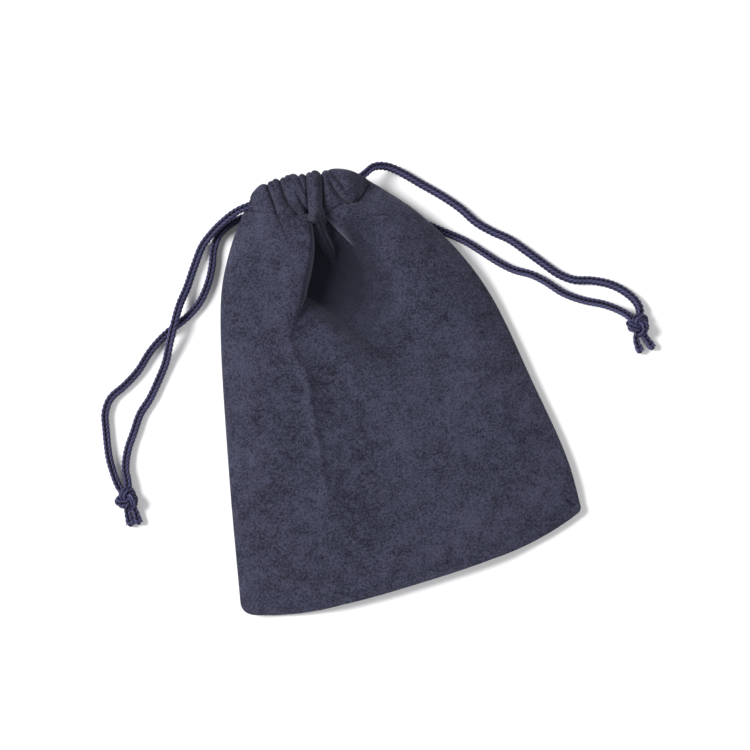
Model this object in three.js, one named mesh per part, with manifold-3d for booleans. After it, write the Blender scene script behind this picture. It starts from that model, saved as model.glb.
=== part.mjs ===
// Drawstring gift pouch: two microsuede panels sewn at the sides and bottom, a hem casing along each
// lip of the mouth, and two cords that each run right round the mouth and leave together at one side.
// The pouch lies on its back with its mouth gathered. Millimetres, +Z up, +Y from the bottom seam to
// the mouth. The origin is on the surface it lies on, under the middle of the pouch.

import * as THREE from 'three';
import { mergeVertices } from 'three/addons/utils/BufferGeometryUtils.js';
import Module from 'manifold-3d';

const wasm = await Module();
wasm.setup();

// ---- driving dimensions ----
const cloth = 0.8;              // thickness of one layer of microsuede
const cordDiameter = 2.5;
const threadDiameter = 0.4;
const seamGap = 0.9;            // from the seam to each panel's middle surface
const sideCurve = {             // the side seams from the bottom corners to the neck
  left: [[-49.9, -53.2], [-42.6, -16.5], [-33.8, 22], [-29.3, 35.9], [-24.6, 45], [-21.5, 49.4]],
  right: [[48.9, -53.2], [49.5, -38.5], [46.8, -14.3], [43.4, 11], [38.9, 24.8], [30.6, 40], [23.2, 49.4]],
};
const bottomBow = 6.55;         // how far the bottom seam bows out past its corners
const topDip = 2;               // how far the front panel's top edge dips in the middle
const seamHeight = { low: 1.9, high: 4.75 };   // of the side seams above the surface, bottom and neck
const crown = { bottom: 4.6, neck: 6.35 };     // rise of the front panel over its seams
const pleat = { count: 5, depth: 0.5 };        // gathers across the mouth
const neck = { middle: 2.35, half: 16.35 };    // the front casing's middle and half width across X
const casingWall = cloth;
const tunnelHeight = 3.1;       // clear height inside a casing, one cord thick
const casingDepth = tunnelHeight + 2 * casingWall;
const frontCasing = { lowMiddle: 48.4, lowEnd: 50.8, highMiddle: 60, highEnd: 58.6, zEnd: 7.35, zRise: 4.65 };
const backCasing = { left: -14, right: 9, low: 48.6, high: 58 };
const earStart = 9;             // past this X the front casing is a flap, open underneath
const earClear = 0.2;           // what the flap's cut leaves below the middle of the casing
const allowance = { inset: 1.3, width: 4.7, lift: 0.2 };
const casingStitch = { front: 0.52, back: 0.55, frontEnd: 1, backEnd: 0.5 };   // from the casings' edges
const knotSize = { long: 3.3, wide: 2.9, high: 2.4, middle: 2.5, groove: 0.07 };
const returnReach = 3.2;        // how far a cord's turn stands out past its casings

// ---- small helpers ----
const lerp = THREE.MathUtils.lerp;
const smoothstep = (x, low, high) => THREE.MathUtils.smoothstep(x, low, high);
const spline = (points) => new THREE.SplineCurve(points.map(([x, y]) => new THREE.Vector2(x, y)));
const side = { left: spline(sideCurve.left), right: spline(sideCurve.right) };
const edgeRise = (share) => (1 - (1 - share) ** 3) ** 0.6;   // how a panel rises from its seam: 0 to 1

const suede = new THREE.MeshStandardMaterial({ color: 0x4b4e63, roughness: 0.95, metalness: 0 });
const casingSuede = new THREE.MeshStandardMaterial({ color: 0x464a60, roughness: 0.95, metalness: 0 });
const cordYarn = new THREE.MeshStandardMaterial({ color: 0x2b2c4e, roughness: 0.7, metalness: 0 });
const sewingThread = new THREE.MeshStandardMaterial({ color: 0x26283a, roughness: 0.6, metalness: 0 });

const pouch = new THREE.Group();

function add(name, geometry, material) {
  const mesh = new THREE.Mesh(geometry, material);
  mesh.name = name;
  pouch.add(mesh);
}

// A geometry from points and triangles given by index.
function solid(points, triangles) {
  const geometry = new THREE.BufferGeometry();
  const values = points.flatMap((p) => [p.x, p.y, p.z]);
  geometry.setAttribute('position', new THREE.Float32BufferAttribute(values, 3));
  geometry.setIndex(triangles);
  geometry.computeVertexNormals();
  return geometry;
}

// A closed shell of the given thickness around a middle surface, which place(i, j) samples on a grid.
function shell(columns, rows, place, thickness) {
  const at = (i, j) => place(THREE.MathUtils.clamp(i, 0, columns), THREE.MathUtils.clamp(j, 0, rows));
  const upper = [];
  const lower = [];
  for (let j = 0; j <= rows; j += 1) {
    for (let i = 0; i <= columns; i += 1) {
      const across = at(i + 1, j).sub(at(i - 1, j));
      const along = at(i, j + 1).sub(at(i, j - 1));
      const normal = across.cross(along).normalize().multiplyScalar(thickness / 2);
      upper.push(at(i, j).add(normal));
      lower.push(at(i, j).sub(normal));
    }
  }
  const width = columns + 1;
  const under = upper.length;
  const triangles = [];
  const quad = (a, b, c, d) => triangles.push(a, b, c, a, c, d);
  for (let j = 0; j < rows; j += 1) {
    for (let i = 0; i < columns; i += 1) {
      const a = j * width + i;
      quad(a, a + 1, a + 1 + width, a + width);
      quad(under + a, under + a + width, under + a + 1 + width, under + a + 1);
    }
  }
  for (let i = 0; i < columns; i += 1) {
    const last = rows * width + i;
    quad(under + i, under + i + 1, i + 1, i);
    quad(last, last + 1, under + last + 1, under + last);
  }
  for (let j = 0; j < rows; j += 1) {
    const first = j * width;
    const end = first + columns;
    quad(first, first + width, under + first + width, under + first);
    quad(under + end, under + end + width, end + width, end);
  }
  return solid([...upper, ...lower], triangles);
}

// A tube of round section along a smooth curve through the points.
function tube(points, diameter, sides, steps) {
  const path = new THREE.CatmullRomCurve3(points, false, 'centripetal');
  const section = new THREE.Shape();
  for (let k = 0; k < sides; k += 1) {
    const angle = ((k + 0.5) * 2 * Math.PI) / sides;
    const point = [(diameter / 2) * Math.cos(angle), (diameter / 2) * Math.sin(angle)];
    if (k === 0) section.moveTo(...point);
    else section.lineTo(...point);
  }
  section.closePath();
  return new THREE.ExtrudeGeometry(section, { steps, extrudePath: path });
}

// ---- panels ----
// s runs across from -1 at the left seam to 1 at the right one, t from 0 at the bottom to 1 at the neck.
const seamZ = (t) => lerp(seamHeight.low, seamHeight.high, smoothstep(t, 0.3, 0.8));

function plan(s, t) {
  const left = side.left.getPoint(t);
  const right = side.right.getPoint(t);
  const share = (s + 1) / 2;
  const bow = bottomBow * (1 - Math.abs(s) ** 3) * (1 - t) ** 3;
  return new THREE.Vector2(lerp(left.x, right.x, share), lerp(left.y, right.y, share) - bow);
}

function frontPoint(s, t) {
  const at = plan(s, t);
  const rise = lerp(crown.bottom, crown.neck, smoothstep(t, 0.2, 1));
  const fall = edgeRise(1 - Math.abs(s)) * edgeRise(Math.min(1, t / 0.35));
  const folds = pleat.depth * Math.cos(2 * Math.PI * pleat.count * s) * smoothstep(t, 0.72, 1) * fall;
  const dip = topDip * (1 - s * s) * t ** 3;
  return new THREE.Vector3(at.x, at.y - dip, seamZ(t) + seamGap + rise * fall + folds);
}

function backPoint(s, t) {
  const at = plan(s, t);
  const sideRise = smoothstep(Math.abs(s), 0.4, 0.85);
  const bottomRise = 1 - smoothstep(t, 0, 0.06);
  const rise = 1 - (1 - sideRise) * (1 - bottomRise);
  const flat = cloth / 2;
  return new THREE.Vector3(at.x, at.y - topDip * t ** 8, lerp(flat, seamZ(t) - seamGap, rise));
}

// A panel's grid is finer towards its seams.
function panel(point, columns, rows) {
  const place = (i, j) => {
    const s = Math.sin((Math.PI / 2) * ((2 * i) / columns - 1));
    const t = (j / rows) ** 1.4;
    return point(s, t);
  };
  return shell(columns, rows, place, cloth);
}

add('back_panel', panel(backPoint, 20, 18), suede);
add('front_panel', panel(frontPoint, 22, 20), suede);

// ---- turned-in seam allowances, inside along the sides and the bottom ----
function sideAllowance(sign) {
  const [from, to] = [0.09, 0.9];
  const place = (i, j) => {
    const t = lerp(from, to, j / 14);
    const half = (side.right.getPoint(t).x - side.left.getPoint(t).x) / 2;
    const inset = allowance.inset + allowance.width * (sign > 0 ? 1 - i : i);
    const at = plan(sign * (1 - inset / half), t);
    return new THREE.Vector3(at.x, at.y, seamZ(t) + allowance.lift);
  };
  return shell(1, 14, place, cloth);
}

function bottomAllowance() {
  const columns = 16;
  const place = (i, j) => {
    const at = plan(lerp(-0.86, 0.86, i / columns), 0);
    const inset = allowance.inset + allowance.width * j;
    return new THREE.Vector3(at.x, at.y + inset, seamHeight.low + allowance.lift);
  };
  return shell(columns, 1, place, cloth);
}

add('left_seam_allowance', sideAllowance(-1), suede);
add('right_seam_allowance', sideAllowance(1), suede);
add('bottom_seam_allowance', bottomAllowance(), suede);

// ---- seam stitching, in the seam between the two panels ----
const seamInset = 0.45;

function sideStitching(sign) {
  const points = [];
  for (let k = 0; k <= 12; k += 1) {
    const t = lerp(0.02, 0.97, k / 12);
    const at = plan(sign, t);
    points.push(new THREE.Vector3(at.x - sign * seamInset, at.y, seamZ(t)));
  }
  return tube(points, threadDiameter, 6, 20);
}

function bottomStitching() {
  const points = [];
  for (let k = 0; k <= 10; k += 1) {
    const at = plan(lerp(-0.97, 0.97, k / 10), 0);
    points.push(new THREE.Vector3(at.x, at.y + seamInset, seamHeight.low));
  }
  return tube(points, threadDiameter, 6, 20);
}

add('left_seam_stitching', sideStitching(-1), sewingThread);
add('right_seam_stitching', sideStitching(1), sewingThread);
add('bottom_seam_stitching', bottomStitching(), sewingThread);

// ---- casings: hems turned over and sewn down, each a tunnel that is open at both ends ----
const archHeight = (x) => {
  const share = Math.min(1, Math.abs(x - neck.middle) / neck.half);
  return frontCasing.zEnd + frontCasing.zRise * (1 - share ** 2.2);
};
const offMiddle = (x) => ((x - neck.middle) / neck.half) ** 2;
const casingLow = (x) => lerp(frontCasing.lowMiddle, frontCasing.lowEnd, offMiddle(x));
const casingHigh = (x) => lerp(frontCasing.highMiddle, frontCasing.highEnd, offMiddle(x));

// A flat tunnel with rounded edges. stations give, for each X, its low and high Y, the height of its
// middle, and how much its outer face stands proud.
function tunnel(stations) {
  const roundSteps = 4;
  const ring = ({ x, low, high, z, proud }, inner) => {
    const shrink = inner ? casingWall : 0;
    const radius = casingDepth / 2 - shrink;
    const half = (middleY, start) => Array.from({ length: roundSteps + 1 }, (_, k) => {
      const angle = start + (Math.PI * k) / roundSteps;
      return new THREE.Vector3(x, middleY + radius * Math.cos(angle), z + radius * Math.sin(angle));
    });
    return [
      ...half(high - shrink - radius, -Math.PI / 2),
      new THREE.Vector3(x, (low + high) / 2, z + radius + (inner ? 0 : proud)),
      ...half(low + shrink + radius, Math.PI / 2),
    ];
  };
  const outer = stations.map((station) => ring(station, false));
  const inner = stations.map((station) => ring(station, true));
  const sides = outer[0].length;
  const points = [...outer.flat(), ...inner.flat()];
  const inside = stations.length * sides;
  const triangles = [];
  const quad = (a, b, c, d) => triangles.push(a, b, c, a, c, d);
  for (let j = 0; j + 1 < stations.length; j += 1) {
    for (let k = 0; k < sides; k += 1) {
      const a = j * sides + k;
      const b = j * sides + ((k + 1) % sides);
      quad(a, b, b + sides, a + sides);
      quad(inside + a, inside + a + sides, inside + b + sides, inside + b);
    }
  }
  const last = (stations.length - 1) * sides;
  for (let k = 0; k < sides; k += 1) {
    const next = (k + 1) % sides;
    quad(k, inside + k, inside + next, next);
    quad(last + k, last + next, inside + last + next, inside + last + k);
  }
  return solid(points, triangles);
}

function frontCasingStations() {
  const count = 26;
  return Array.from({ length: count + 1 }, (_, k) => {
    const x = neck.middle + neck.half * lerp(-1, 1, k / count);
    const proud = pleat.depth * (1 + Math.cos(2 * Math.PI * pleat.count * lerp(-1, 1, k / count)));
    return { x, low: casingLow(x), high: casingHigh(x), z: archHeight(x), proud };
  });
}

function backCasingStations() {
  return [backCasing.left, backCasing.right].map((x) => (
    { x, low: backCasing.low, high: backCasing.high, z: casingDepth / 2, proud: 0 }));
}

function toManifold(geometry) {
  const bare = geometry.clone();
  bare.deleteAttribute('normal');
  bare.deleteAttribute('uv');
  const merged = mergeVertices(bare, 1e-4);
  const vertProperties = new Float32Array(merged.attributes.position.array);
  const triVerts = new Uint32Array(merged.index.array);
  return new wasm.Manifold(new wasm.Mesh({ numProp: 3, vertProperties, triVerts }));
}

function fromManifold(manifold) {
  const mesh = manifold.getMesh();
  const geometry = new THREE.BufferGeometry();
  geometry.setAttribute('position', new THREE.BufferAttribute(new Float32Array(mesh.vertProperties), 3));
  geometry.setIndex(new THREE.BufferAttribute(new Uint32Array(mesh.triVerts), 1));
  geometry.computeVertexNormals();
  return geometry;
}

// What is cut away under the flap at the front casing's right end, so that the cords can turn there.
function earCut() {
  const depth = 20;
  const end = neck.middle + neck.half + 2;
  const outline = new THREE.Shape();
  outline.moveTo(earStart, 0);
  outline.lineTo(end, 0);
  outline.lineTo(end, frontCasing.zEnd - earClear);
  outline.lineTo(earStart, archHeight(earStart) - earClear);
  outline.closePath();
  const block = new THREE.ExtrudeGeometry(outline, { depth, bevelEnabled: false });
  block.rotateX(Math.PI / 2);
  block.translate(0, frontCasing.highMiddle + 4, 0);
  return block;
}

add('back_casing', tunnel(backCasingStations()), casingSuede);
const wholeFrontCasing = toManifold(tunnel(frontCasingStations()));
add('front_casing', fromManifold(wholeFrontCasing.subtract(toManifold(earCut()))), casingSuede);

function casingStitching(from, to, place) {
  const points = Array.from({ length: 9 }, (_, k) => place(lerp(from, to, k / 8)));
  return tube(points, threadDiameter, 6, 18);
}

add('back_casing_stitching', casingStitching(
  backCasing.left + casingStitch.backEnd, backCasing.right - casingStitch.backEnd,
  (x) => new THREE.Vector3(x, backCasing.low - casingStitch.back, cloth)), sewingThread);
add('front_casing_stitching', casingStitching(
  neck.middle - neck.half + casingStitch.frontEnd, neck.middle + neck.half - casingStitch.frontEnd,
  (x) => new THREE.Vector3(x, casingLow(x) - casingStitch.front, archHeight(x))), sewingThread);

// ---- cords ----
// Each strand runs through its casing, out at the side, and over the surface to its knot.
const runY = { leftFront: 56.1, rightFront: 53.2, leftBack: 54.6, rightBack: 51.6 };
const backRunZ = casingDepth / 2;

const leftFrontRoute = [
  [-14.3, 56.1, 7.35], [-17.3, 55.9, 7.25], [-20.3, 55.3, 6.6], [-24.1, 54, 5.1], [-27.7, 52.3, 3.4],
  [-31.2, 49.9, 2], [-34.9, 45.2, 1.3], [-38.6, 39.8, 1.7], [-41.9, 35.2, 3.5], [-44.6, 30.6, 4.3],
  [-47.4, 25.8, 3.3], [-50.2, 21, 1.6], [-53.4, 16.9, 1.3], [-57.4, 12.3, 1.3], [-61.2, 8.9, 1.3],
  [-64.2, 4.6, 1.3], [-67.2, 0.2, 1.4], [-69.2, -4.6, 1.8], [-69.7, -9, 2.3]];
const leftBackRoute = [
  [-14.3, 54.6, 2.35], [-17.3, 54.6, 2.35], [-20.3, 54.3, 2], [-23.4, 53.3, 1.5], [-26, 51.6, 1.3],
  [-28.2, 48.4, 1.3], [-30, 43.9, 1.3], [-32.6, 39.2, 1.3], [-36.2, 34.9, 1.3], [-40.4, 32, 1.3],
  [-44.6, 30.2, 1.3], [-49, 28.2, 1.3], [-53.6, 25.2, 1.3], [-58.4, 20.9, 1.3], [-63.1, 18, 1.3],
  [-67.8, 15.7, 1.3], [-70.4, 12.2, 1.3], [-71.6, 7, 1.3], [-72.8, -0.5, 1.4], [-72.8, -5.2, 1.8],
  [-72.4, -9.1, 2.3]];
const rightFrontRoute = [
  [10.6, 53.2, 10.9], [13, 53.3, 9.8], [15.7, 54, 8.2], [18.7, 55.6, 6.5], [22.2, 57.3, 4.9],
  [25.8, 56.7, 3.4], [29.2, 54.3, 2.2], [33.8, 49.5, 1.4], [38.5, 44.4, 1.3], [42.4, 39.4, 1.3],
  [45.6, 34, 1.3], [49.3, 30, 1.3], [53, 26.7, 1.3], [56.5, 22.1, 1.3], [60.2, 17, 1.3],
  [63.4, 12.8, 1.3], [67, 10, 1.3], [71.6, 8.4, 1.3], [76.1, 6, 1.3], [79.4, 2.9, 1.4], [81.6, -0.8, 1.8],
  [82, -3.7, 2.2]];
const rightBackRoute = [
  [9.4, 51.6, 2.35], [12.4, 51.6, 2.3], [16.6, 50.9, 1.9], [21, 47.8, 1.4], [26.2, 42.7, 1.3],
  [31.2, 38.2, 1.3], [36.8, 33.4, 1.3], [40.7, 30, 1.3], [44.3, 25.8, 1.3], [47.8, 21.5, 1.3],
  [51.6, 17.8, 1.3], [55.7, 15.2, 1.3], [59.2, 11.8, 1.3], [62.8, 7.4, 1.3], [67.6, 3.7, 1.3],
  [72.5, 1, 1.4], [75.9, -1.7, 1.8], [78, -4, 2.2]];
const vectors = (list) => list.map(([x, y, z]) => new THREE.Vector3(x, y, z));

// The stretch of a front strand that lies in its casing, from its inner end to the casing's mouth.
function frontRun(from, to, y) {
  return Array.from({ length: 7 }, (_, k) => {
    const x = lerp(from, to, k / 6);
    return new THREE.Vector3(x, y, archHeight(x));
  });
}

function strand(inside, outside) {
  return tube([...inside, ...vectors(outside)], cordDiameter, 8, 46);
}

const casingLeft = neck.middle - neck.half;
const leftEnd = earStart - 0.2;        // inner ends of the left cord's strands
const rightEnd = casingLeft + 0.2;     // and of the right cord's
const leftFrontRun = frontRun(leftEnd, casingLeft + 1.5, runY.leftFront);
const rightFrontRun = frontRun(rightEnd, earStart - 2, runY.rightFront);
const leftBackRun = [new THREE.Vector3(leftEnd, runY.leftBack, backRunZ)];
const rightBackRun = [new THREE.Vector3(rightEnd, runY.rightBack, backRunZ)];
add('left_cord_front_strand', strand(leftFrontRun, leftFrontRoute), cordYarn);
add('left_cord_back_strand', strand(leftBackRun, leftBackRoute), cordYarn);
add('right_cord_front_strand', strand(rightFrontRun, rightFrontRoute), cordYarn);
add('right_cord_back_strand', strand(rightBackRun, rightBackRoute), cordYarn);

// Where a cord turns back at the far side of the mouth, from the front casing into the back one.
function cordReturn(x, sign, frontY, frontZ, backY) {
  const reach = sign * returnReach;
  return tube([
    new THREE.Vector3(x, frontY, frontZ),
    new THREE.Vector3(x + reach * 0.6, frontY, frontZ - 0.4),
    new THREE.Vector3(x + reach, (frontY + backY) / 2, (frontZ + backRunZ) / 2),
    new THREE.Vector3(x + reach * 0.6, backY, backRunZ + 0.4),
    new THREE.Vector3(x, backY, backRunZ),
  ], cordDiameter, 8, 12);
}

const leftReturn = cordReturn(
  earStart + 0.6, 1, runY.leftFront, archHeight(earStart) - 0.6, runY.leftBack);
const rightReturn = cordReturn(
  casingLeft - 0.4, -1, runY.rightFront, frontCasing.zEnd, runY.rightBack);
add('left_cord_return', leftReturn, cordYarn);
add('right_cord_return', rightReturn, cordYarn);

// An overhand knot of both strands, as one lump with the grooves between its turns.
function knot(x, y, turn) {
  const geometry = new THREE.SphereGeometry(1, 16, 12);
  const at = geometry.attributes.position;
  const point = new THREE.Vector3();
  for (let k = 0; k < at.count; k += 1) {
    point.fromBufferAttribute(at, k);
    const around = Math.round(Math.atan2(point.y, point.x) * 1e5) / 1e5;
    const level = Math.hypot(point.x, point.y);
    const groove = 1 - knotSize.groove * level * (1 - Math.cos(3 * around + 2 * point.z));
    point.multiply(new THREE.Vector3(knotSize.long * groove, knotSize.wide * groove, knotSize.high));
    at.setXYZ(k, point.x, point.y, point.z);
  }
  const bare = mergeVertices(geometry.deleteAttribute('uv').deleteAttribute('normal'), 1e-3);
  bare.rotateZ(turn);
  bare.translate(x, y, knotSize.middle);
  bare.computeVertexNormals();
  return bare;
}

const leftKnot = { x: -71.1, y: -13.2 };
const rightKnot = { x: 80.2, y: -7.9 };
add('left_cord_knot', knot(leftKnot.x, leftKnot.y, 0.2), cordYarn);
add('right_cord_knot', knot(rightKnot.x, rightKnot.y, -0.3), cordYarn);

const tails = {
  left_cord_front_tail: [[-69.6, -17, 1.6], [-69.5, -18.8, 1.4], [-69.6, -21, 1.3]],
  left_cord_back_tail: [[-72.6, -16.9, 1.6], [-72.7, -18.8, 1.4], [-72.6, -20.8, 1.3]],
  right_cord_front_tail: [[81.3, -11.8, 1.6], [82, -13.6, 1.4], [82.6, -15.8, 1.3]],
  right_cord_back_tail: [[78.1, -11.6, 1.6], [78, -13.6, 1.4], [77.9, -15.6, 1.3]],
};
for (const [name, points] of Object.entries(tails)) {
  add(name, tube(vectors(points), cordDiameter, 8, 3), cordYarn);
}

export default pouch;
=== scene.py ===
import math

import bpy
import numpy as np
from mathutils.bvhtree import BVHTree
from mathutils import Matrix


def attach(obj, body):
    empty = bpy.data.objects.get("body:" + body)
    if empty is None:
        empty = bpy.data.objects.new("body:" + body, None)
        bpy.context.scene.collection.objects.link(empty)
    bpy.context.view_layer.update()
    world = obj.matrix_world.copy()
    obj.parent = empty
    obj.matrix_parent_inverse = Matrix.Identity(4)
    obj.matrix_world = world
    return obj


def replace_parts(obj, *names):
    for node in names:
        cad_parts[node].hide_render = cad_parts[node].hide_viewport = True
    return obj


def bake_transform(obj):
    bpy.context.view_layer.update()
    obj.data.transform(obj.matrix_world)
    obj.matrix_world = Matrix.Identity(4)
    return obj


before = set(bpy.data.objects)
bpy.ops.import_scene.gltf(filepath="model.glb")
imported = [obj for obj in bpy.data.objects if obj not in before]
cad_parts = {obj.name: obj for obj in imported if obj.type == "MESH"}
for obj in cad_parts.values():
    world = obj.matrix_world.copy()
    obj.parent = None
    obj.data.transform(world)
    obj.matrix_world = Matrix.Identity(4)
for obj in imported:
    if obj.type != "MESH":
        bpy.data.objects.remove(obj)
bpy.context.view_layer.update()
scene = bpy.context.scene
MM = 0.001

# ---- camera ----
# It stands almost straight above the pouch and looks a little from its lower left side.
azimuth, elevation = math.radians(-17), math.radians(80)
aim = np.array([0.0050, 0.0002, 0.0020])
distance = 0.5852
towards_camera = np.array([
    math.sin(azimuth) * math.cos(elevation),
    -math.cos(azimuth) * math.cos(elevation),
    math.sin(elevation),
])
camera = bpy.data.objects.new("camera", bpy.data.cameras.new("camera"))
camera.data.lens = 100
camera.data.sensor_width = 36
camera.data.clip_start = 0.01
camera.location = aim + distance * towards_camera
camera.rotation_euler = (math.pi / 2 - elevation, 0, azimuth)
scene.collection.objects.link(camera)
scene.camera = camera


# ---- cords ----
# Each cord is a tube of satin polyester yarn knitted on a small ring: two columns of V stitches round a
# soft core. It is limp, 2.5 mm thick, and its two ends are tied together in one overhand knot.
class Wire:
    """One output of a node. Sums on it add Math nodes to its tree, and node() adds any other node."""

    def __init__(self, tree, socket=None):
        self.tree, self.socket = tree, socket

    def node(self, kind, inputs=None, out=0, stops=(), **settings):
        made = self.tree.nodes.new(kind)
        for key, value in settings.items():
            setattr(made, key, value)
        if stops:
            ramp = made.color_ramp.elements
            while len(ramp) < len(stops):
                ramp.new(0.5)
            for element, (place, level) in zip(ramp, stops):
                element.position = place
                element.color = (level, level, level, 1)
        for key, value in (inputs or {}).items():
            if isinstance(value, Wire):
                self.tree.links.new(value.socket, made.inputs[key])
            else:
                made.inputs[key].default_value = value
        return Wire(self.tree, made.outputs[out] if made.outputs else None)

    def out(self, name):
        return Wire(self.tree, self.socket.node.outputs[name])

    def math(self, operation, first, second=0.0):
        return self.node("ShaderNodeMath", {0: first, 1: second}, operation=operation)

    def __add__(self, other):
        return self.math("ADD", self, other)

    def __sub__(self, other):
        return self.math("SUBTRACT", self, other)

    def __rsub__(self, other):
        return self.math("SUBTRACT", other, self)

    def __mul__(self, other):
        return self.math("MULTIPLY", self, other)

    def __pow__(self, other):
        return self.math("POWER", self, other)

    __radd__, __rmul__ = __add__, __mul__


def finish_material(name, colour, build):
    """A material whose shader takes fixed values and the changing ones that build(start) gives."""
    material = bpy.data.materials.new(name)
    material.use_nodes = True
    material.diffuse_color = (*colour, 1)
    shader = material.node_tree.nodes["Principled BSDF"]
    fixed, changing = build(Wire(material.node_tree))
    for key, value in fixed.items():
        shader.inputs[key].default_value = value
    for key, wire in changing.items():
        material.node_tree.links.new(wire.socket, shader.inputs[key])
    return material


def noise(start, where, per_metre, detail=2.0, roughness=0.5):
    return start.node("ShaderNodeTexNoise", {
        "Vector": where, "Scale": per_metre, "Detail": detail, "Roughness": roughness})


def shaded(start, level, dark, light):
    """A colour between dark and light, by a level from 0 to 1."""
    return start.node("ShaderNodeMix", {
        "Factor": level, 6: (*dark, 1), 7: (*light, 1)}, out=2, data_type="RGBA")


def yarn_look(start):
    place = start.node("ShaderNodeTexCoord", out=3)
    fibres = noise(start, place, 2600, 3)
    wear = noise(start, place, 220, 2)
    # depth paints shade: it darkens the colour down in the knit and on its core, and also makes those places
    # rough
    depth = start.node("ShaderNodeAttribute", out=2, attribute_name="depth")
    colour = shaded(start, (fibres * 0.7 + wear * 0.6 - 0.05) * (1 - depth),
                    (0.0015, 0.0015, 0.006), (0.078, 0.076, 0.2))
    bump = start.node("ShaderNodeBump", {"Strength": 0.5, "Distance": 0.00008, "Height": fibres})
    return ({"Specular IOR Level": 0.32, "Sheen Weight": 0.05, "Sheen Roughness": 0.4,
             "Sheen Tint": (0.55, 0.55, 0.95, 1)},
            {"Base Color": colour, "Normal": bump,
             "Roughness": (fibres * 0.25 + 0.36) * (1 - depth) + depth})


cord_yarn = finish_material("knitted_cord_yarn", (0.03, 0.03, 0.07), yarn_look)

stitch_pitch = 1.3 * MM
wales = 2


def mesh_object(name, points, faces, material=None, smooth=True):
    mesh = bpy.data.meshes.new(name)
    mesh.from_pydata([tuple(p) for p in points], [], [tuple(f) for f in faces])
    mesh.polygons.foreach_set("use_smooth", [smooth] * len(mesh.polygons))
    if material:
        mesh.materials.append(material)
    made = bpy.data.objects.new(name, mesh)
    scene.collection.objects.link(made)
    return made


def smooth_path(points, steps=8):
    """A centripetal Catmull-Rom curve through the points."""
    p = np.array(points, float)
    p = np.vstack([2 * p[0] - p[1], p, 2 * p[-1] - p[-2]])
    found = []
    for a, b, c, d in zip(p[:-3], p[1:-2], p[2:-1], p[3:]):
        ab, bc, cd = (math.sqrt(np.linalg.norm(v)) for v in (b - a, c - b, d - c))
        leaving = bc * ((b - a) / ab - (c - a) / (ab + bc) + (c - b) / bc)
        arriving = bc * ((c - b) / bc - (d - b) / (bc + cd) + (d - c) / cd)
        for t in np.linspace(0, 1, steps, endpoint=False):
            found.append((2 * t**3 - 3 * t**2 + 1) * b + (t**3 - 2 * t**2 + t) * leaving
                         + (3 * t**2 - 2 * t**3) * c + (t**3 - t**2) * arriving)
    found.append(p[-2])
    return np.array(found)


def stitch_row():
    """One round of the knit, about the Z axis. Each V has two legs of yarn, thick in the middle, that
    rise from under the last V and end under the next. Every point says how deep in the knit it lies, and its
    colour is painted that much darker there as shade."""
    sides, steps = 6, 5
    leg_length = 2.0 * stitch_pitch
    tucked, rise = 0.56 * MM, 0.33 * MM
    thin, plump = 0.17 * MM, 0.22 * MM
    outermost = 1.28 * MM
    dark_from = 0.57 * MM
    points, faces, depth = [], [], []
    for wale in range(wales):
        for lean in (-1, 1):
            first = len(points)
            for k in range(steps + 1):
                share = k / steps
                angle = 2 * math.pi * wale / wales + lean * math.radians(12 + 64 * share)
                reach = tucked + rise * math.sin(math.pi * share)
                thick = thin + plump * math.sin(math.pi * share)
                height = (share - 0.5) * leg_length
                for side in range(sides):
                    turn = 2 * math.pi * side / sides
                    out = reach + thick * math.cos(turn)
                    swing = angle + thick * math.sin(turn) / reach
                    points.append((out * math.cos(swing), out * math.sin(swing), height))
                    # the deeper a point lies below the knit's outside, the darker its colour is painted:
                    # painted shade
                    depth.append(min(1, (outermost - out) / dark_from))
            for k in range(steps):
                for side in range(sides):
                    a, b = first + k * sides + side, first + k * sides + (side + 1) % sides
                    faces.append((a, b, b + sides, a + sides))
            faces.append([first + side for side in reversed(range(sides))])
            faces.append([first + steps * sides + side for side in range(sides)])
    row = mesh_object("stitch_row", points, faces)
    row.data.attributes.new("depth", "FLOAT", "POINT").data.foreach_set("value", depth)
    return row


def new_tree(name, sockets):
    tree = bpy.data.node_groups.new(name, "GeometryNodeTree")
    tree.interface.new_socket("Geometry", in_out="OUTPUT", socket_type="NodeSocketGeometry")
    for label, kind in sockets:
        tree.interface.new_socket(label, in_out="INPUT", socket_type="NodeSocket" + kind)
    return tree, Wire(tree).node("NodeGroupInput")


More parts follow.
